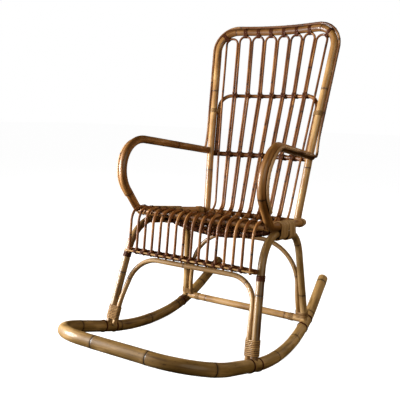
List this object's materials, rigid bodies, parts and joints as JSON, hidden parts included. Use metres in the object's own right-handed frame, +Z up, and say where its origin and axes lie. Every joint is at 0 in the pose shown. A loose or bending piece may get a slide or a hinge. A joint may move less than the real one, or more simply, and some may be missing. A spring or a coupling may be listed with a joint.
{
  "type": "rocking chair",
  "caption": "Bamboo rocking chair of bent poles on a U-shaped runner, with looped arms and a dished seat and high bowed back of long hairpin rods, bound with wound peel.",
  "frame": {"origin": "on the floor, midway between the two points where the rockers touch it with the chair at rest", "axes": "+Z up; -Y the way the sitter faces; +X towards the sitter's left arm"},
  "size_m": [0.5608, 1.0109, 1.1069],
  "materials": {
    "bamboo_pole": "satin",
    "brown_rod": "satin",
    "welt_rod": "satin",
    "pale_peel": "satin",
    "dark_peel": "satin"
  },
  "bodies": {
    "root": {"runner": "bamboo_pole", "rear_stretcher": "bamboo_pole", "front_arch": "bamboo_pole", "rear_arch": "bamboo_pole", "leg_arch_left": "bamboo_pole", "leg_arch_right": "bamboo_pole", "arm_left": "bamboo_pole", "arm_right": "bamboo_pole", "seat_binding_left": "dark_peel", "seat_binding_right": "dark_peel", "foot_winding_front_left": "pale_peel", "foot_winding_front_right": "pale_peel", "foot_winding_rear_left": "pale_peel", "foot_winding_rear_right": "pale_peel", "back_frame": "bamboo_pole", "upper_back_bar": "brown_rod", "lower_back_bar": "brown_rod", "seat_rear_rail": "bamboo_pole", "seat_front_rail": "bamboo_pole", "seat_cross_rod_front": "brown_rod", "seat_cross_rod_rear": "brown_rod", "spindle_1": "brown_rod", "spindle_2": "brown_rod", "spindle_3": "brown_rod", "spindle_4": "brown_rod", "spindle_5": "brown_rod", "spindle_6": "brown_rod", "spindle_7": "brown_rod", "spindle_8": "brown_rod", "apron_rail": "brown_rod", "apron_cover_strip": "brown_rod", "welt": "welt_rod", "runner_straps": "dark_peel", "top_rail_wraps": "dark_peel", "upper_bar_wraps": "pale_peel", "apron_end_wraps": "dark_peel", "stretcher_wraps": "pale_peel", "upper_bar_lashings": "dark_peel", "lower_bar_lashings": "dark_peel", "apron_lashings": "dark_peel"}
  },
  "joints": []
}
